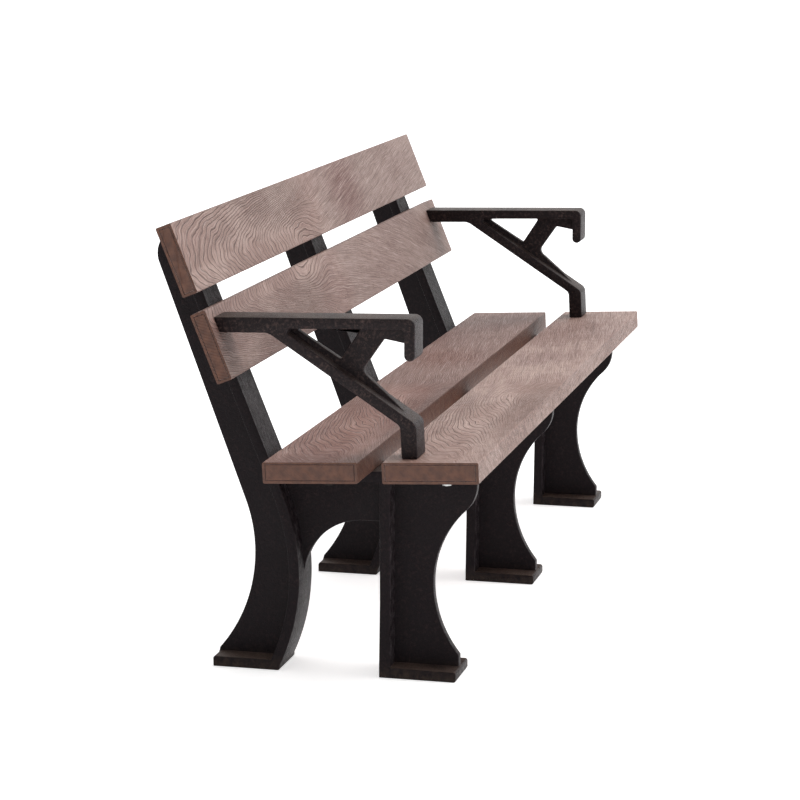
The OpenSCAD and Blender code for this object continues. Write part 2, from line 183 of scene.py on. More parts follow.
def pick(piece: bpy.types.Object, faces: Callable[[Any], bool] | None = None,
         edges: Callable[[Any], bool] | None = None) -> None:
    """Select faces or edges of a piece by a test, and switch to that select mode.

    Args:
        piece: The piece, which is the active object and in object mode.
        faces: The test for a face, or None.
        edges: The test for an edge, or None.
    """
    make_active(piece)
    bpy.ops.object.mode_set(mode="EDIT")
    bpy.ops.mesh.select_mode(type="FACE" if faces else "EDGE")
    bpy.ops.mesh.select_all(action="DESELECT")
    bpy.ops.object.mode_set(mode="OBJECT")
    if faces:
        for face in piece.data.polygons:
            face.select = faces(face)
    if edges:
        for line in piece.data.edges:
            line.select = edges(line)


def run_of(piece: bpy.types.Object, line: bpy.types.MeshEdge) -> Vector:
    """The vector along an edge, in metres."""
    ends = [piece.data.vertices[i].co for i in line.vertices]
    return ends[1] - ends[0]


def apply_modifier(piece: bpy.types.Object, kind: str, **settings: Any) -> None:
    """Add a modifier with its settings and apply it.

    Args:
        piece: The piece to change.
        kind: The modifier's type.
        settings: Values for the modifier's properties.
    """
    make_active(piece)
    modifier = piece.modifiers.new(kind.title(), kind)
    for name, value in settings.items():
        setattr(modifier, name, value)
    bpy.ops.object.modifier_apply(modifier=modifier.name)


def dress(piece: bpy.types.Object, material: bpy.types.Material, nodes: Iterable[str]) -> None:
    """Give a piece its material and its place in the table of pieces.

    Args:
        piece: The finished piece.
        material: Its material.
        nodes: The CAD nodes that it stands for.
    """
    piece.data.materials.clear()
    piece.data.materials.append(material)
    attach(piece, BODY)
    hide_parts(*nodes)
    LOG.info("%s: %d faces", piece.name, len(piece.data.polygons))


# ---- Finishes ----

@dataclass(frozen=True)
class Waver:
    """One waver of the lines: how far it pushes them, and its length along and across, in mm."""

    push: float
    along: float
    across: float

    def at(self, x: float, s: float, n: float, seed: float) -> float:
        """How far it pushes the lines along the board at a point, in mm."""
        return self.push * noise.noise(Vector((x / self.along + seed, s / self.across, n / self.across)))


@dataclass(frozen=True)
class Figure:
    """The wood figure that a board's mould carries: lines that fan out from an axis along the board.

    Each line crosses the axis square on and runs off to one side above it and below it. The runs
    are how far it has moved along the board by the time it reaches the board's edge. Past
    calm_from the fan gives way to calm lines that run along the board. Sizes are in mm.
    """

    width: float
    axis: float
    start: float
    near_gap: float
    far_gap: float
    upper_run: float
    upper_gain: float
    lower_run: float
    lower_gain: float
    bold_x: tuple[float, float]
    bold_s: tuple[float, float]
    calm_from: float
    calm_soft: float = 130.0
    calm_slope: float = 0.26
    calm_bow: float = 0.0
    calm_gap: float = 12.0
    calm_side: float = -1.0
    calm_sway: float = 0.16
    bend: float = 1.6
    stretch: float = 700.0
    settle: float = 260.0
    slant: float = 1.7
    bold_soft: tuple[float, float] = (260.0, 40.0)
    patch_mm: tuple[float, float] = (150.0, 60.0)
    patch_layer: float = 3.0
    wavers: tuple[Waver, ...] = (Waver(20.0, 170.0, 65.0), Waver(15.0, 60.0, 26.0), Waver(7.0, 28.0, 12.0))
    seed: float = 0.0

    def phase(self, x: float, s: float, n: float) -> float:
        """Count the lines between the board's left end and a point.

        Args:
            x: Distance from the left end, mm.
            s: Distance from the board's front or lower edge, mm.
            n: Height above the board's underside or rear, mm.

        Returns:
            The number of lines passed, with a fraction.
        """
        sway = sum(waver.at(x, s, n, self.seed) for waver in self.wavers)
        share = min(1.0, max(0.0, (x - self.calm_from) / (2 * self.calm_soft) + 0.5))
        share = share * share * (3 - 2 * share)
        middle = self.fan(self.calm_from, self.width / 2, 0.0, 0.0)
        along = x - self.calm_from
        calm = middle + self.calm_side / self.calm_gap * (
            s - self.width / 2 - self.calm_slope * along - self.calm_bow * along ** 2 + n
            - sway * self.calm_sway)
        return (1 - share) * self.fan(x, s, n, sway) + share * calm

    def fan(self, x: float, s: float, n: float, sway: float) -> float:
        """Count the fan's lines up to a point, which the sway moves along the board.

        Args:
            x: Distance from the left end, mm.
            s: Distance from the board's front or lower edge, mm.
            n: Height above the board's underside or rear, mm.
            sway: How far the lines are pushed along the board there, mm.

        Returns:
            The number of lines passed, with a fraction.
        """
        reach = x * (1 + x / self.stretch)
        if s >= self.axis:
            share = (s - self.axis) / (self.width - self.axis)
            run = (self.upper_run + self.upper_gain * reach) * share ** self.bend
        else:
            share = (self.axis - s) / self.axis
            run = (self.lower_run + self.lower_gain * reach) * share ** self.bend
        u = x - self.start - run + self.slant * n + sway
        if u < 0:
            return u / self.near_gap
        ease = self.settle * (1 / self.far_gap - 1 / self.near_gap)
        return u / self.far_gap + ease * (math.exp(-u / self.settle) - 1)

    def boldness(self, x: float, s: float) -> float:
        """How strongly the lines are pressed at a point, from 0 to 1."""
        def within(value: float, span: tuple[float, float], soft: float) -> float:
            """A soft-edged band."""
            low, high = span
            rise = min(1.0, max(0.0, (value - low) / soft + 0.5))
            fall = min(1.0, max(0.0, (high - value) / soft + 0.5))
            return rise * fall
        patch = 0.5 + 0.9 * noise.noise(Vector((
            x / self.patch_mm[0] + self.seed, s / self.patch_mm[1], self.patch_layer)))
        return min(1.0, within(x, self.bold_x, self.bold_soft[0]) * within(s, self.bold_s, self.bold_soft[1])
                   * (0.75 + 0.5 * patch))


@dataclass(frozen=True)
class Smudge:
    """A brown cloud in a board's colour, by its middle and half sizes in mm, and its strength."""

    x: float
    s: float
    half_x: float
    half_s: float
    strength: float


@dataclass(frozen=True)
class MouldedBoardPlastic:
    """Recycled polyethylene board, moulded against a plate with a weathered timber relief.

    The plastic is brown all through. The pressed grain is a few tenths of a millimetre deep: its
    hollows stay dark, and the pale sheen that its ridges catch at a low angle is also laid into
    their colour as a painted sheen. Flow of the melt leaves cloudy patches of warmer brown.
    """

    name: str
    corner: tuple[float, float]
    turn: float
    smudges: tuple[Smudge, ...]
    # How much of the ends' dark colours the front face takes: painted shade, for a face in the gap between
    # boards
    side_skin: float = 0.0
    side_scuff: float = 0.0
    light: str = "a3877d"
    warm: str = "8a6b62"
    hollow: str = "3a2721"
    # Pale colour laid on the ridges: a painted sheen, for the light they catch at a low angle
    bloom: str = "cdb8af"
    cloud: str = "6a3a31"
    shade: str = "6b5751"
    shade_share: float = 0.38
    # Colours of the ends: partly the mould's plain skin, partly painted shade; the groove colour is painted
    # shade in the ends' groove
    end: str = "4b2d21"
    lip: str = "623d2c"
    groove: str = "38251f"
    roughness: float = 0.56
    ior: float = 1.5
    # Sizes of the patterns in mm. Real pressed fibres are finer than a millimetre, too fine to show
    # here, so the streaks and fibres are drawn as coarse as they need to be seen.
    streak_mm: float = 170.0
    fibre_mm: float = 80.0
    drift_mm: float = 14.2857
    patch_mm: float = 83.3333
    blotch_mm: float = 22.2222
    pit_mm: float = 3.0303
    nick_mm: float = 8.33333
    mottle_mm: float = 13.3333
    # Streaks, fibres and fine lines to each bold line, and how much finer streaks are across
    streaks_a_line: float = 2.6
    fibres_a_line: float = 5.5
    fines_a_line: float = 3.0
    squash: float = 2.5
    # How far the drift shakes the bold and the fine lines, in lines
    drift_bold: float = 0.30
    drift_fine: float = 2.6
    # Where in its round from 0 to 1 each kind of line falls away
    ring_span: tuple[float, float] = (0.74, 0.96)
    between_span: tuple[float, float] = (0.55, 0.95)
    # How dark bold lines, streaks and fibres get, and how strong the painted sheen on the ridges is
    ring_ink: float = 0.84
    streak_ink: float = 0.40
    fibre_ink: float = 0.44
    painted_sheen_share: float = 0.40
    # Relief of bold lines, scuffs, fine lines, streaks, fibres and pits, as shares of relief_mm
    relief_mm: float = 1.1
    ring_relief: float = -1.4
    scuff_relief: float = -1.2
    other_reliefs: tuple[float, ...] = (-0.35, -1.0, -1.1, 0.6)
    end_relief: float = 0.15

    def make(self) -> bpy.types.Material:
        """Build the material.

        Returns:
            The material. It reads the piece's "grain", "bold" and "groove" attributes and its
            object coordinates.
        """
        material, t = new_material(self.name)
        grain = add(t, "Attribute", out="Fac", attribute_name="grain")
        bold = add(t, "Attribute", out="Fac", attribute_name="bold")
        groove = add(t, "Attribute", out="Fac", attribute_name="groove")
        shift = (SIZES.length / 2 * MM, -self.corner[0] * MM, -self.corner[1] * MM)
        board = add(t, "Mapping", {
            "Vector": add(t, "VectorMath", {0: add(t, "TexCoord", out="Object"), 1: shift}, operation="ADD"),
            "Rotation": (math.radians(self.turn), 0, 0)})
        x = add(t, "SeparateXYZ", {0: board})
        s, n = x.node.outputs["Y"], x.node.outputs["Z"]
        drawn = add(t, "VectorMath", {0: board, 1: (0.35, 1.0, 1.0)}, operation="MULTIPLY")
        drift = add(t, "TexNoise", {"Vector": drawn, "Scale": waves(self.drift_mm), "Detail": 3.0})

        # One line to each whole number of the grain, with a slow rise and a sharp fall, and
        # finer ones between them
        shaken = add(t, "Math", {0: drift, 1: self.drift_bold, 2: grain}, operation="MULTIPLY_ADD")
        ring = add(t, "Math", {0: shaken}, operation="FRACT")
        ring_line = add(t, "MapRange", {"Value": ring, 1: self.ring_span[0], 2: self.ring_span[1]},
                        interpolation_type="SMOOTHSTEP")
        finer = add(t, "Math", {0: grain, 1: self.fines_a_line}, operation="MULTIPLY")
        mixed = add(t, "Math", {0: drift, 1: self.drift_fine, 2: finer}, operation="MULTIPLY_ADD")
        between = add(t, "Math", {0: mixed}, operation="FRACT")
        between_line = add(t, "MapRange", {
            "Value": between, 1: self.between_span[0], 2: self.between_span[1]},
            interpolation_type="SMOOTHSTEP")
        rise = add(t, "Math", {0: s, 1: n}, operation="ADD")
        # Streaks and fibres drawn out along the grain
        streaks, fibres = [add(t, "TexNoise", {
            "Vector": add(t, "CombineXYZ", {
                0: add(t, "Math", {0: grain, 1: count}, operation="MULTIPLY"),
                1: add(t, "Math", {0: x, 1: waves(run)}, operation="MULTIPLY"),
                2: add(t, "Math", {0: rise, 1: self.squash * waves(run)}, operation="MULTIPLY")}),
            "Scale": 1.0, "Detail": 2.0, "Roughness": 0.6})
            for count, run in ((self.streaks_a_line, self.streak_mm), (self.fibres_a_line, self.fibre_mm))]
        patches = add(t, "TexNoise", {"Vector": drawn, "Scale": waves(self.patch_mm), "Detail": 3.0})
        blotches = add(t, "TexNoise", {
            "Vector": board, "Scale": waves(self.blotch_mm), "Detail": 4.0, "Roughness": 0.65})
        pits = add(t, "TexNoise", {"Vector": drawn, "Scale": waves(self.pit_mm), "Detail": 2.0})

        # Colour: patches, smudges, then the dark lines and the painted sheen on the ridges
        colour = add(t, "Mix", {
            0: add(t, "MapRange", {"Value": patches, 1: 0.36, 2: 0.64}, interpolation_type="SMOOTHSTEP"),
            6: linear(self.light), 7: linear(self.warm)}, out=2, data_type="RGBA")
        colour = add(t, "Mix", {
            0: add(t, "MapRange", {"Value": blotches, 1: 0.50, 2: 0.78, 4: 0.40}),
            6: colour, 7: linear(self.cloud)}, out=2, data_type="RGBA")
        # The shallow grain is a little darker all over than the deep grain's ridges
        colour = add(t, "Mix", {
            0: add(t, "MapRange", {"Value": bold, 1: 0.0, 2: 0.35, 3: self.shade_share, 4: 0.0}),
            6: colour, 7: linear(self.shade)}, out=2, data_type="RGBA")
        for smudge in self.smudges:
            spot = add(t, "VectorMath", {0: board, 1: (smudge.x * MM, smudge.s * MM, 0)},
                       operation="SUBTRACT")
            scaled = add(t, "VectorMath", {
                0: spot, 1: (1 / (smudge.half_x * MM), 1 / (smudge.half_s * MM), 0)}, operation="MULTIPLY")
            away = add(t, "VectorMath", {0: scaled}, out="Value", operation="LENGTH")
            veil = add(t, "MapRange", {"Value": away, 1: 1.0, 2: 0.0, 4: smudge.strength},
                       interpolation_type="SMOOTHSTEP")
            broken = add(t, "MapRange", {"Value": streaks, 1: 0.30, 2: 0.62, 3: 0.45, 4: 1.0})
            colour = add(t, "Mix", {0: add(t, "Math", {0: veil, 1: broken}, operation="MULTIPLY"),
                                    6: colour, 7: linear(self.cloud)}, out=2, data_type="RGBA")
        bold_line = add(t, "Math", {0: ring_line, 1: bold}, operation="MULTIPLY")
        faint_line = add(t, "Math", {
            0: between_line, 1: add(t, "MapRange", {"Value": blotches, 1: 0.35, 2: 0.7, 3: 0.12, 4: 0.50})},
            operation="MULTIPLY")
        dark_streak = add(t, "MapRange", {"Value": streaks, 1: 0.50, 2: 0.70, 4: self.streak_ink})
        dark_fibre = add(t, "MapRange", {"Value": fibres, 1: 0.50, 2: 0.72, 4: self.fibre_ink})
        ink = add(t, "Math", {0: bold_line, 1: self.ring_ink}, operation="MULTIPLY")
        for other in (faint_line, dark_streak, dark_fibre):
            ink = add(t, "Math", {0: ink, 1: other}, operation="MAXIMUM")
        colour = add(t, "Mix", {0: ink, 6: colour, 7: linear(self.hollow)}, out=2, data_type="RGBA")
        # Painted sheen: pale colour on the ridges, for the light that they catch
        painted_ridge_sheen = add(t, "MapRange", {"Value": fibres, 1: 0.46, 2: 0.26, 4: self.painted_sheen_share})
        colour = add(t, "Mix", {0: painted_ridge_sheen, 6: colour, 7: linear(self.bloom)}, out=2, data_type="RGBA")

        # Ends: the plain brown skin of the mould, partly painted shade. The rear seat board's face in the
        # gap gets the same colours as painted shade, and the ends' groove gets painted shade
        normal = add(t, "SeparateXYZ", {0: add(t, "NewGeometry", out="Normal")})
        facing = add(t, "Math", {0: normal}, operation="ABSOLUTE")
        end_skin_and_shade = add(t, "MapRange", {"Value": facing, 1: 0.75, 2: 0.95})
        is_side = add(t, "MapRange", {"Value": normal.node.outputs["Y"], 1: -0.75, 2: -0.95})
        # Painted shade: the rear seat board's front face, in the gap, takes the ends' dark colours
        painted_gap_shade = add(t, "Math", {0: is_side, 1: self.side_skin}, operation="MULTIPLY")
        end_skin_and_shade = add(t, "Math", {0: end_skin_and_shade, 1: painted_gap_shade}, operation="MAXIMUM")
        nicks = add(t, "TexNoise", {
            "Vector": add(t, "VectorMath", {0: board, 1: (1.3, 1.0, 0.8)}, operation="MULTIPLY"),
            "Scale": waves(self.nick_mm), "Detail": 8.0, "Roughness": 0.78, "Distortion": 0.3})
        nicked = add(t, "MapRange", {"Value": nicks, 1: 0.44, 2: 0.60, 4: self.side_scuff})
        scuffed = add(t, "Math", {0: is_side, 1: nicked}, operation="MULTIPLY")
        colour = add(t, "Mix", {0: scuffed, 6: colour, 7: linear(self.hollow)}, out=2, data_type="RGBA")
        mottle = add(t, "TexNoise", {"Vector": board, "Scale": waves(self.mottle_mm), "Detail": 4.0})
        skin = add(t, "Mix", {0: add(t, "MapRange", {"Value": mottle, 1: 0.35, 2: 0.68}),
                              6: linear(self.end), 7: linear(self.lip)}, out=2, data_type="RGBA")
        colour = add(t, "Mix", {0: end_skin_and_shade, 6: colour, 7: skin}, out=2, data_type="RGBA")
        # Painted shade in the ends' groove
        colour = add(t, "Mix", {0: groove, 6: colour, 7: linear(self.groove)}, out=2, data_type="RGBA")

        # Relief: the ramp of each bold line, the scuffs, the lines' dips, the streaks and the pits
        ramp = add(t, "Math", {0: ring_line, 1: self.ring_relief, 2: ring}, operation="MULTIPLY_ADD")
        height = add(t, "Math", {0: ramp, 1: bold}, operation="MULTIPLY")
        height = add(t, "Math", {0: scuffed, 1: self.scuff_relief, 2: height}, operation="MULTIPLY_ADD")
        for part, share in zip((between_line, streaks, fibres, pits), self.other_reliefs):
            height = add(t, "Math", {0: part, 1: share, 2: height}, operation="MULTIPLY_ADD")
        calm = add(t, "MapRange", {"Value": end_skin_and_shade, 3: 1.0, 4: self.end_relief})
        height = add(t, "Math", {0: height, 1: calm}, operation="MULTIPLY")
        bump = add(t, "Bump", {"Strength": 1.0, "Distance": self.relief_mm * MM, "Height": height})
        rough = add(t, "MapRange", {"Value": ink, 3: self.roughness - 0.06, 4: self.roughness + 0.25})
        shader = add(t, "BsdfPrincipled", {
            "Base Color": colour, "Roughness": rough, "IOR": self.ior, "Normal": bump})
        add(t, "OutputMaterial", {"Surface": shader})
        return material


@dataclass(frozen=True)
class BlackMouldedPlastic:
    """Black recycled polyethylene, intrusion moulded.

    It is nearly black with a matt skin that whitens only at a low angle, with short brown and
    grey flow marks. What faces up is a lighter brown, partly dusty and partly a painted sheen; the
    faces that look to the front carry a painted highlight of pale speckles.
    """

    name: str = "black_recycled_polyethylene"
    base: str = "0f070b"
    mark: str = "2b1f20"
    # Lighter brown on what faces up: partly dusty, partly a painted sheen for the light on the tops
    dust_and_sheen: str = "6b5a51"
    roughness: float = 0.42
    ior: float = 1.5
    specular: float = 0.13
    # Painted highlight: pale speckles on the faces that look to the front, where the light falls
    painted_highlight: str = "5f585b"
    painted_highlight_share: float = 0.55
    splash: str = "43362c"
    splash_share: float = 0.42
    splash_mm: float = 34.0
    # Sizes of the patterns in mm. Real scratches and specks are a few tenths of a millimetre wide,
    # so they are drawn as coarse as they need to be seen.
    mark_mm: float = 5.0
    scratch_mm: float = 2.63158
    patch_mm: float = 62.5
    speck_mm: float = 1.42857
    speckle_noise_mm: float = 10.5263
    # Relief of the marks, specks, scratches and rubs, as shares of relief_mm
    relief_mm: float = 1.2
    mark_relief: float = 0.8
    other_reliefs: tuple[float, ...] = (0.45, -0.8, 1.2)

    def make(self) -> bpy.types.Material:
        """Build the material.

        Returns:
            The material, on object coordinates.
        """
        material, t = new_material(self.name)
        spot = add(t, "TexCoord", out="Object")
        flow = add(t, "VectorMath", {0: spot, 1: (1.0, 0.7, 0.7)}, operation="MULTIPLY")
        marks = add(t, "TexNoise", {
            "Vector": flow, "Scale": waves(self.mark_mm), "Detail": 5.0, "Roughness": 0.62,
            "Distortion": 0.5})
        scratches = add(t, "TexNoise", {
            "Vector": flow, "Scale": waves(self.scratch_mm), "Detail": 2.0, "Distortion": 1.2})
        patches = add(t, "TexNoise", {"Vector": spot, "Scale": waves(self.patch_mm), "Detail": 3.0})
        specks = add(t, "TexNoise", {"Vector": spot, "Scale": waves(self.speck_mm), "Detail": 2.0})

        where = add(t, "MapRange", {"Value": patches, 1: 0.35, 2: 0.65, 3: 0.30, 4: 0.95})
        amount = add(t, "Math", {0: add(t, "MapRange", {"Value": marks, 1: 0.50, 2: 0.74}), 1: where},
                     operation="MULTIPLY")
        fine = add(t, "MapRange", {"Value": scratches, 1: 0.58, 2: 0.78, 4: 0.70})
        amount = add(t, "Math", {0: amount, 1: fine}, operation="MAXIMUM")
        colour = add(t, "Mix", {0: amount, 6: linear(self.base), 7: linear(self.mark)},
                     out=2, data_type="RGBA")
        up = add(t, "SeparateXYZ", {0: add(t, "NewGeometry", out="Normal")}, out="Z")
        # Painted highlight: pale speckles on the faces that look to the front, where the light falls
        painted_highlight_side = add(t, "MapRange", {"Value": up.node.outputs["Y"], 1: -0.25, 2: -0.80, 4: self.painted_highlight_share})
        speckle_noise = add(t, "TexNoise", {
            "Vector": add(t, "VectorMath", {0: spot, 1: (1.0, 1.0, 0.6)}, operation="MULTIPLY"),
            "Scale": waves(self.speckle_noise_mm), "Detail": 8.0, "Roughness": 0.78, "Distortion": 0.2})
        painted_highlight_speckle = add(t, "MapRange", {"Value": speckle_noise, 1: 0.45, 2: 0.70})
        colour = add(t, "Mix", {0: add(t, "Math", {0: painted_highlight_side, 1: painted_highlight_speckle}, operation="MULTIPLY"),
                                6: colour, 7: linear(self.painted_highlight)}, out=2, data_type="RGBA")
        # Dried splashes near the ground
        rise = add(t, "SeparateXYZ", {0: spot}, out="Z")
        low = add(t, "MapRange", {"Value": rise, 1: self.splash_mm * MM, 2: 0.2 * self.splash_mm * MM})
        splashed = add(t, "MapRange", {"Value": speckle_noise, 1: 0.40, 2: 0.62, 4: self.splash_share})
        colour = add(t, "Mix", {0: add(t, "Math", {0: low, 1: splashed}, operation="MULTIPLY"),
                                6: colour, 7: linear(self.splash)}, out=2, data_type="RGBA")
        # Lighter brown on what faces up: partly dusty, partly a painted sheen for the light on the tops
        flat = add(t, "MapRange", {"Value": up, 1: 0.55, 2: 0.95})
        dust_and_sheen_patches = add(t, "MapRange", {"Value": patches, 1: 0.30, 2: 0.65, 3: 0.15, 4: 0.45})
        dust_and_sheen_on_top = add(t, "Math", {0: flat, 1: dust_and_sheen_patches}, operation="MULTIPLY")
        colour = add(t, "Mix", {0: dust_and_sheen_on_top, 6: colour, 7: linear(self.dust_and_sheen)}, out=2, data_type="RGBA")

        height = add(t, "Math", {0: marks, 1: self.mark_relief}, operation="MULTIPLY")
        for part, share in zip((specks, scratches, speckle_noise), self.other_reliefs):
            height = add(t, "Math", {0: part, 1: share, 2: height}, operation="MULTIPLY_ADD")
        bump = add(t, "Bump", {"Strength": 0.9, "Distance": self.relief_mm * MM, "Height": height})
        rough = add(t, "MapRange", {"Value": marks, 1: 0.3, 2: 0.7, 3: self.roughness - 0.06,
                                    4: self.roughness + 0.14})
        shader = add(t, "BsdfPrincipled", {
            "Base Color": colour, "Roughness": rough, "IOR": self.ior,
            "Specular IOR Level": self.specular, "Normal": bump})
        add(t, "OutputMaterial", {"Surface": shader})
        return material


@dataclass(frozen=True)
class ZincPlatedSteel:
    """Bright zinc-plated steel of the coach screws and washers: a grey metal with a faint bloom."""

    name: str = "zinc_plated_steel"
    base: str = "c9cbce"
    bloom: str = "a9a8a2"
    roughness: float = 0.28
    bloom_mm: float = 3.84615
    grit_mm: float = 0.454545
    relief_mm: float = 0.05

    def make(self) -> bpy.types.Material:
        """Build the material.

        Returns:
            The material, on object coordinates.
        """
        material, t = new_material(self.name)
        spot = add(t, "TexCoord", out="Object")
        patches = add(t, "TexNoise", {"Vector": spot, "Scale": waves(self.bloom_mm), "Detail": 3.0})
        colour = add(t, "Mix", {0: patches, 6: linear(self.base), 7: linear(self.bloom)},
                     out=2, data_type="RGBA")
        rough = add(t, "MapRange", {"Value": patches, 1: 0.3, 2: 0.7, 3: self.roughness - 0.05,
                                    4: self.roughness + 0.12})
        grit = add(t, "TexNoise", {"Vector": spot, "Scale": waves(self.grit_mm), "Detail": 1.0})
        bump = add(t, "Bump", {"Strength": 0.2, "Distance": self.relief_mm * MM, "Height": grit})
        shader = add(t, "BsdfPrincipled", {
            "Base Color": colour, "Metallic": 1.0, "Roughness": rough, "Normal": bump})
        add(t, "OutputMaterial", {"Surface": shader})
        return material


@dataclass(frozen=True)
class PaleFloor:
    """Matt white studio floor, lit from within so that it stays white round the bench."""

    name: str = "studio_floor"
    base: str = "f4f4f4"
    glow: float = 0.56

    def make(self) -> bpy.types.Material:
        """Build the material.

        Returns:
            The material, a plain matt white.
        """
        material, t = new_material(self.name)
        matt = add(t, "BsdfDiffuse", {"Color": linear(self.base)})
        glow = add(t, "Emission", {"Strength": self.glow})
        add(t, "OutputMaterial", {"Surface": add(t, "AddShader", {0: matt, 1: glow})})
        return material


ARMREST_PLASTIC = BlackMouldedPlastic(
    "black_recycled_polyethylene_armrest", base="150b0e", mark="54433f", specular=0.20)
# A darker, rougher copy of the zinc plate: painted shade for the screws and washers that sit in shade under
# the seat boards
PAINTED_SHADE_ZINC = ZincPlatedSteel(
    "painted_shade_zinc_plated_steel", base="332f2e", bloom="2a2625", roughness=0.52)


# ---- Boards ----

@dataclass
class Board:
    """One moulded board: a bar with rounded edges, a groove round each end and grain in its faces."""

    row: Row
    figure: Figure
    finish: MouldedBoardPlastic
    width: float
    thick: float
    length: float = SIZES.length
    edge_r: float = SIZES.edge_r
    end_margin: float = 5.0
    end_top_margin: float = 3.4
    groove_side: float = 0.6
    groove_floor: float = 0.5
    groove_deep: float = 1.2
    step: float = 5.0
    coarse_spans: int = 15
    edge_segments: int = 4
    smooth_angle: float = 35.0
    grain_deep: float = 0.45
    line_share: float = 0.35
    rough_share: float = 0.65
    rough_waves: tuple[float, float] = (0.09, 0.15)
    end_zone: float = 2.5
    end_rim: float = 1.5

    def place(self, s: float, n: float) -> Vector:
        """Turn distances across the board and out of it into a Y, Z point, in metres."""
        turn = math.radians(self.finish.turn)
        y, z = self.finish.corner
        return Vector((0.0, (y + s * math.cos(turn) + n * math.sin(turn)) * MM,
                       (z - s * math.sin(turn) + n * math.cos(turn)) * MM))

    def local(self, point: Vector) -> tuple[float, float, float]:
        """Turn a point of the mesh into distances along, across and out of the board, in mm."""
        turn = math.radians(self.finish.turn)
        y = point.y / MM - self.finish.corner[0]
        z = point.z / MM - self.finish.corner[1]
        return (point.x / MM + self.length / 2, y * math.cos(turn) - z * math.sin(turn),
                y * math.sin(turn) + z * math.cos(turn))

    def bar(self) -> bpy.types.Object:
        """Add the plain bar at the board's size and place.

        Returns:
            The bar, with its place in its mesh.
        """
        deselect_all()
        bpy.ops.mesh.primitive_cube_add(
            size=1.0, location=self.place(self.width / 2, self.thick / 2),
            rotation=(-math.radians(self.finish.turn), 0, 0),
            scale=(self.length * MM, self.width * MM, self.thick * MM))
        piece = bpy.context.object
        piece.name = f"{self.row.value}_moulded"
        bpy.ops.object.transform_apply(location=True, rotation=True, scale=True)
        return piece

    def cut_end_grooves(self, piece: bpy.types.Object) -> None:
        """Cut the fine groove that runs round both end faces."""
        pick(piece, faces=lambda face: abs(face.normal.x) > 0.9)
        edit(piece, lambda: bpy.ops.mesh.inset(thickness=self.end_margin * MM, depth=0))
        top = self.place(0, 1) - self.place(0, 0)
        for point in piece.data.vertices:
            n = self.local(point.co)[2]
            if self.thick / 2 < n < self.thick - 1:
                point.co += top * (self.end_margin - self.end_top_margin)
        for wide, deep in ((self.groove_side, -self.groove_deep), (self.groove_floor, 0.0),
                           (self.groove_side, self.groove_deep)):
            edit(piece, lambda: bpy.ops.mesh.inset(thickness=wide * MM, depth=deep * MM))

    def round_edges(self, piece: bpy.types.Object) -> None:
        """Round the four long edges."""
        pick(piece, edges=lambda line: abs(run_of(piece, line).x) > self.length * MM / 2)
        edit(piece, lambda: bpy.ops.mesh.bevel(
            offset=self.edge_r * MM, segments=self.edge_segments, affect="EDGES", clamp_overlap=False))

    def divide(self, piece: bpy.types.Object) -> None:
        """Divide the long faces finely enough to carry the grain."""
        ends = self.length * MM / 2 - NEAR
        for size in (self.width, self.thick):
            def crosswise(line: bpy.types.MeshEdge) -> bool:
                """Whether an edge lies across the board at its very end, and is this side's."""
                run = run_of(piece, line)
                far = abs(piece.data.vertices[line.vertices[0]].co.x)
                flat = size - 2 * self.edge_r
                return abs(run.x) < NEAR and far > ends and abs(run.length / MM - flat) < 2
            pick(piece, edges=crosswise)
            edit(piece, lambda: bpy.ops.mesh.subdivide(number_cuts=round(size / self.step) - 1))
        for cuts in (self.coarse_spans - 1, round(self.length / self.step / self.coarse_spans) - 1):
            pick(piece, edges=lambda line: abs(run_of(piece, line).x) > 3 * self.step * MM)
            edit(piece, lambda: bpy.ops.mesh.subdivide(number_cuts=cuts))

    def carve(self, piece: bpy.types.Object) -> None:
        """Press the grain into the faces, and leave its count on the mesh for the material."""
        deep = piece.vertex_groups.new(name="grain_depth")
        values = []
        for point in piece.data.vertices:
            x, s, n = self.local(point.co)
            count = self.figure.phase(x, s, n)
            values.append(count)
            if self.inside_end(point.co):
                continue
            hollow = 0.5 - 0.5 * math.cos(2 * math.pi * count)
            along, across = self.rough_waves
            rough = 0.5 + 0.5 * noise.noise(Vector((x * along, s * across, n * across)))
            depth = self.line_share * hollow + self.rough_share * rough
            deep.add([point.index], min(1.0, depth), "REPLACE")
        places = [self.local(point.co) for point in piece.data.vertices]
        sunk = [1.0 if self.groove_deep / 2 < min(x, self.length - x) < 2 * self.groove_deep
                and self.inside_end(point.co) else 0.0
                for (x, s, n), point in zip(places, piece.data.vertices)]
        bold = [self.figure.boldness(x, s) for x, s, n in places]
        for name, numbers in (("grain", values), ("groove", sunk), ("bold", bold)):
            layer = piece.data.attributes.new(name, "FLOAT", "POINT")
            layer.data.foreach_set("value", numbers)
        apply_modifier(piece, "DISPLACE", strength=-self.grain_deep * MM, mid_level=0.0,
                       vertex_group="grain_depth", direction="NORMAL")

    def inside_end(self, point: Vector) -> bool:
        """Whether a point belongs to an end face's inset rings."""
        x, s, n = self.local(point)
        at_end = x < self.end_zone or x > self.length - self.end_zone
        rim = self.end_rim
        return at_end and rim < s < self.width - rim and rim < n < self.thick - rim

    def build(self) -> bpy.types.Object:
        """Model the board and dress it.

        Returns:
            The finished piece.
        """
        piece = self.bar()
        self.cut_end_grooves(piece)
        self.round_edges(piece)
        self.divide(piece)
        self.carve(piece)
        make_active(piece)
        bpy.ops.object.shade_smooth_by_angle(angle=math.radians(self.smooth_angle))
        dress(piece, self.finish.make(), [self.row.value])
        return piece


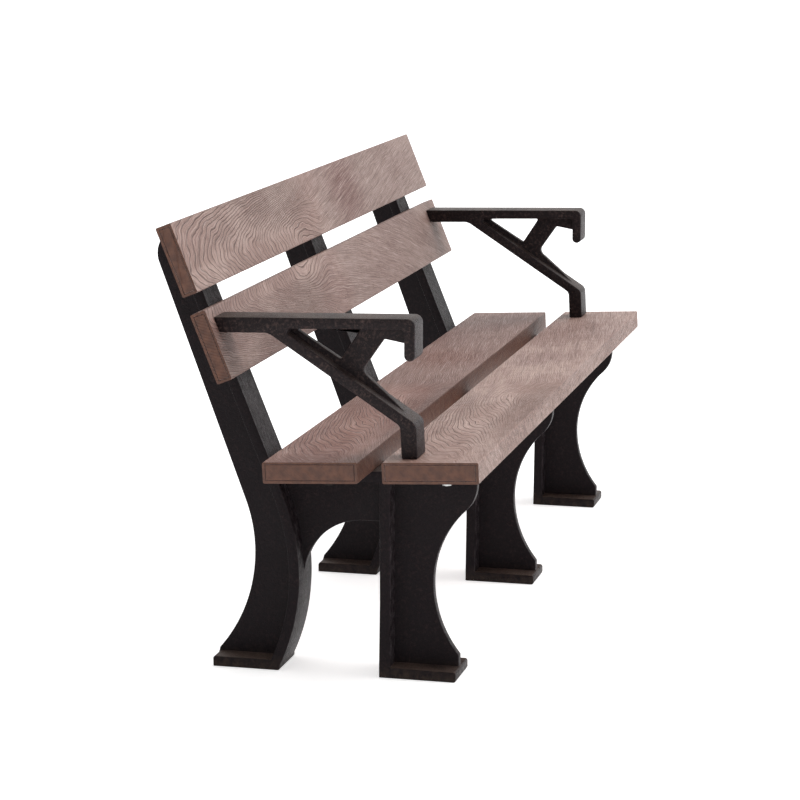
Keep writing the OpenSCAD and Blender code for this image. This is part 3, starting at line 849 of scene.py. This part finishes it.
@dataclass
class SeatAndBack:
    """The two seat boards and the two back boards."""

    sizes: BenchSizes = SIZES
    seat_figure: Figure = Figure(
        width=180, axis=72, start=110, near_gap=30, far_gap=24, upper_run=150, upper_gain=0.28,
        lower_run=-190, lower_gain=-0.30, bold_x=(50, 700), bold_s=(30, 230),
        calm_from=700, calm_slope=0.14, seed=3.1)
    lower_figure: Figure = Figure(
        width=136, axis=112, start=330, near_gap=17, far_gap=18, upper_run=20, upper_gain=-0.03,
        lower_run=370, lower_gain=0.25, bold_x=(-200, 800), bold_s=(-60, 200),
        calm_from=660, calm_soft=150, calm_slope=-0.03, calm_bow=-0.0002, calm_side=1.0, bend=1.3,
        seed=11.7)
    upper_figure: Figure = Figure(
        width=136, axis=38, start=60, near_gap=32, far_gap=19, upper_run=120, upper_gain=0.36,
        lower_run=70, lower_gain=-0.06, bold_x=(-200, 820), bold_s=(-60, 200),
        calm_from=760, calm_slope=0.18, bend=1.5, seed=7.3)

    def seat_corner(self, row: int) -> tuple[float, float]:
        """The lower front edge of a seat board, as Y and Z in mm."""
        turn = math.radians(self.sizes.seat_tilt)
        run = row * (self.sizes.seat_w + self.sizes.seat_gap)
        return run * math.cos(turn) - self.sizes.middle_y, self.sizes.seat_z - run * math.sin(turn)

    def back_corner(self, row: int) -> tuple[float, float]:
        """The lower rear edge of a back board, as Y and Z in mm."""
        lean = math.radians(self.sizes.back_lean)
        rise = row * (self.sizes.back_w + self.sizes.back_gap)
        return (self.sizes.back_set + rise * math.sin(lean) + self.sizes.back_t * math.cos(lean)
                - self.sizes.middle_y,
                self.sizes.seat_z + self.sizes.back_rise + rise * math.cos(lean)
                - self.sizes.back_t * math.sin(lean))

    def seat_board(self, row: Row, place: int, **look: Any) -> bpy.types.Object:
        """Model and dress a seat board.

        Args:
            row: Which board it is.
            place: Its place from the front, from 0.
            look: What its plastic has of its own.

        Returns:
            The finished board.
        """
        finish = MouldedBoardPlastic(
            name=f"recycled_polyethylene_{row.value}", corner=self.seat_corner(place),
            turn=self.sizes.seat_tilt, side_scuff=0.62, **look)
        return Board(row, self.seat_figure, finish, self.sizes.seat_w, self.sizes.seat_t).build()

    def back_board(self, row: Row, place: int, figure: Figure, **look: Any) -> bpy.types.Object:
        """Model and dress a back board.

        Args:
            row: Which board it is.
            place: Its place from below, from 0.
            figure: The figure in its faces.
            look: What its plastic has of its own.

        Returns:
            The finished board.
        """
        finish = MouldedBoardPlastic(
            name=f"recycled_polyethylene_{row.value}", corner=self.back_corner(place),
            turn=self.sizes.back_lean - 90, **look)
        return Board(row, figure, finish, self.sizes.back_w, self.sizes.back_t).build()

    def build(self) -> list[bpy.types.Object]:
        """Model and dress the four boards.

        Returns:
            The finished boards.
        """
        return [
            self.seat_board(
                Row.FRONT_SEAT, 0, light="bc9d92", warm="a27f73", cloud="6a3a31", shade_share=0.08,
                smudges=(Smudge(1140, 95, 130, 120, 0.62), Smudge(1060, 130, 70, 70, 0.4),
                         Smudge(1480, 90, 420, 260, 0.50))),
            self.seat_board(
                Row.REAR_SEAT, 1, light="a0786c", warm="885b4f", cloud="74402f", shade_share=0.40,
                # Painted shade on its front face, in the gap between the seat boards
                side_skin=0.85,
                smudges=(Smudge(1130, 90, 170, 140, 0.95), Smudge(1220, 120, 90, 90, 0.35))),
            self.back_board(
                Row.LOWER_BACK, 0, self.lower_figure, light="a88b81", warm="8e6e65",
                smudges=(Smudge(880, 45, 60, 40, 0.45), Smudge(1200, 60, 320, 160, 0.20))),
            self.back_board(
                Row.UPPER_BACK, 1, self.upper_figure, light="b0948a", warm="94756b",
                smudges=(Smudge(1130, 80, 210, 190, 1.0), Smudge(900, 110, 110, 60, 0.40),
                         Smudge(1560, 60, 260, 150, 0.22)))]


# ---- Frames, armrests and fasteners ----

@dataclass
class Moulding:
    """A part whose shape the CAD gives exactly, remade with softened edges.

    Lengths are in mm and angles in degrees. A corner of the soft edge that stands proud of the
    part, or has strayed from it by more than its share of the edge, goes back to the surface.
    """

    node: str
    edge: float
    segments: int = 2
    sharp: float = 38.0
    merge: float = 0.5
    level: float = 0.6
    smooth: float = 30.0
    proud: float = 0.02
    stray: float = 0.3

    def build(self, name: str, material: bpy.types.Material, slot: str) -> bpy.types.Object:
        """Merge a copy of the CAD node, clean its faces, soften its edges and dress it.

        Args:
            name: The piece's name.
            material: Its material.
            slot: The record's material slot. It is not used.

        Returns:
            The finished piece.
        """
        piece = bpy.data.objects.new(name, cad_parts[self.node].data.copy())
        bpy.context.scene.collection.objects.link(piece)
        edit(piece, lambda: bpy.ops.mesh.select_all(action="SELECT"),
             lambda: bpy.ops.mesh.remove_doubles(threshold=self.merge * MM),
             lambda: bpy.ops.mesh.dissolve_limited(angle_limit=math.radians(self.level)))
        apply_modifier(piece, "BEVEL", width=self.edge * MM, segments=self.segments,
                       limit_method="ANGLE", angle_limit=math.radians(self.sharp),
                       use_clamp_overlap=False, harden_normals=False)
        self.draw_back(piece)
        make_active(piece)
        bpy.ops.object.shade_smooth_by_angle(angle=math.radians(self.smooth))
        dress(piece, material, [self.node])
        return piece

    def draw_back(self, piece: bpy.types.Object) -> None:
        """Bring any bevel corner that overshot its short edges back to the part's own surface."""
        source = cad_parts[self.node].data
        lowest = min(point.co.z for point in source.vertices)
        skin = BVHTree.FromPolygons([v.co for v in source.vertices],
                                    [face.vertices for face in source.polygons])
        for point in piece.data.vertices:
            place, outward, _, away = skin.find_nearest(point.co)
            proud = (point.co - place).dot(outward) > self.proud * MM
            if away > self.edge * MM or (proud and away > self.stray * self.edge * MM):
                point.co = place
            point.co.z = max(point.co.z, lowest)


@dataclass
class Frames:
    """The three black frames that carry the boards."""

    edge: float = 1.6
    places: tuple[str, ...] = ("left", "middle", "right")

    def build(self, material: bpy.types.Material) -> list[bpy.types.Object]:
        """Model and dress the frames.

        Args:
            material: The black plastic.

        Returns:
            The three frames.
        """
        return [Moulding(f"{place}_frame", self.edge).build(
            f"{place}_frame_moulded", material, "black_plastic") for place in self.places]


@dataclass
class Armrests:
    """The two black armrests."""

    edge: float = 2.5
    segments: int = 3

    def build(self, material: bpy.types.Material) -> list[bpy.types.Object]:
        """Model and dress the armrests.

        Args:
            material: The black plastic.

        Returns:
            The two armrests.
        """
        return [Moulding(f"{hand.value}_armrest", self.edge, self.segments).build(
            f"{hand.value}_armrest_moulded", material, "black_plastic") for hand in Hand]


@dataclass
class Fasteners:
    """Coach screws and washers, set by set."""

    edge: float = 0.3
    sharp: float = 28.0
    merge: float = 0.01
    sets: tuple[str, ...] = tuple(
        f"{owner}_{kind}" for owner in (
            *[row.value for row in Row],
            *[f"{hand.value}_armrest_{end}" for hand in Hand for end in ("foot", "rail")])
        for kind in ("screws", "washers"))
    # Sets that sit in shade under the seat boards get the darker zinc, as painted shade
    painted_shade_owners: tuple[str, ...] = ("rear_seat_board", "left_armrest_foot", "right_armrest_foot")

    def build(self, bright: bpy.types.Material, painted_shade_zinc: bpy.types.Material) -> list[bpy.types.Object]:
        """Model and dress every set.

        Args:
            bright: The shiny zinc plate.
            painted_shade_zinc: A darker, rougher copy of the zinc plate: painted shade for the sets that sit
                in shade under the seat boards.

        Returns:
            One piece to a set.
        """
        return [Moulding(name, self.edge, sharp=self.sharp, merge=self.merge).build(
            f"{name}_turned", painted_shade_zinc if name.startswith(self.painted_shade_owners) else bright, "zinc_steel")
            for name in self.sets]


# ---- Studio ----

@dataclass
class Studio:
    """White floor, soft light and the camera. Lengths are in metres, angles in degrees."""

    eye: tuple[float, float, float] = (-5.60460, -1.34759, 1.48045)
    tilt: float = 79.1721
    heading: float = -76.0597
    lens: float = 123.506
    sensor: float = 36.0
    view_end: float = 200.0
    floor_size: float = 60.0
    floor_drop: float = 0.0002
    bright: float = 1.1
    dim: float = 0.45
    dim_to_bright: tuple[float, float] = (-0.5, 0.35)
    key_heading: tuple[float, float, float] = (-0.35, 0.55, -1.0)
    key_spread: float = 50.0
    key_strength: float = 1.2

    def floor(self, finish: PaleFloor) -> None:
        """Lay the floor.

        Args:
            finish: The floor's finish.
        """
        deselect_all()
        bpy.ops.mesh.primitive_plane_add(size=self.floor_size, location=(0, 0, -self.floor_drop))
        ground = bpy.context.object
        ground.name = "studio_floor"
        ground.data.materials.append(finish.make())

    def surround(self) -> None:
        """Light the surround: a white backdrop past the bench, and a dimmer room on the near side."""
        world = bpy.data.worlds.new("studio")
        bpy.context.scene.world = world
        world.use_nodes = True
        tree = world.node_tree
        tree.nodes.clear()
        way = add(tree, "SeparateXYZ", {0: add(tree, "TexCoord", out="Generated")})
        glow = add(tree, "MapRange", {
            "Value": way, 1: self.dim_to_bright[0], 2: self.dim_to_bright[1], 3: self.dim,
            4: self.bright}, interpolation_type="SMOOTHSTEP")
        seen = add(tree, "LightPath", out="Is Camera Ray")
        strength = add(tree, "Mix", {0: seen, 2: glow, 3: 1.0}, data_type="FLOAT")
        shade = add(tree, "Background", {"Color": linear("ffffff"), "Strength": strength})
        add(tree, "OutputWorld", {"Surface": shade})

    def key_light(self) -> None:
        """Add the key light, a large and distant one that shines along its heading."""
        lamp = bpy.data.lights.new("key_light", "SUN")
        lamp.angle, lamp.energy = math.radians(self.key_spread), self.key_strength
        holder = bpy.data.objects.new("key_light", lamp)
        bpy.context.scene.collection.objects.link(holder)
        holder.rotation_euler = Vector(self.key_heading).to_track_quat("-Z", "Y").to_euler()

    def camera(self) -> None:
        """Set up the camera."""
        lens = bpy.data.cameras.new("camera")
        lens.lens, lens.sensor_width = self.lens, self.sensor
        lens.clip_end = self.view_end
        eye = bpy.data.objects.new("camera", lens)
        bpy.context.scene.collection.objects.link(eye)
        eye.location = self.eye
        eye.rotation_euler = (math.radians(self.tilt), 0, math.radians(self.heading))
        bpy.context.scene.camera = eye

    def build(self) -> None:
        """Set up the whole studio."""
        self.floor(PaleFloor())
        self.surround()
        self.key_light()
        self.camera()
        bpy.context.scene.view_settings.view_transform = "Standard"


def main() -> None:
    """Build the bench, piece by piece, and its studio."""
    logging.basicConfig(level=logging.INFO, format="%(name)s: %(message)s")
    Studio().build()
    SeatAndBack().build()
    Frames().build(BlackMouldedPlastic().make())
    Armrests().build(ARMREST_PLASTIC.make())
    Fasteners().build(ZincPlatedSteel().make(), PAINTED_SHADE_ZINC.make())


if __name__ == "__main__":
    main()
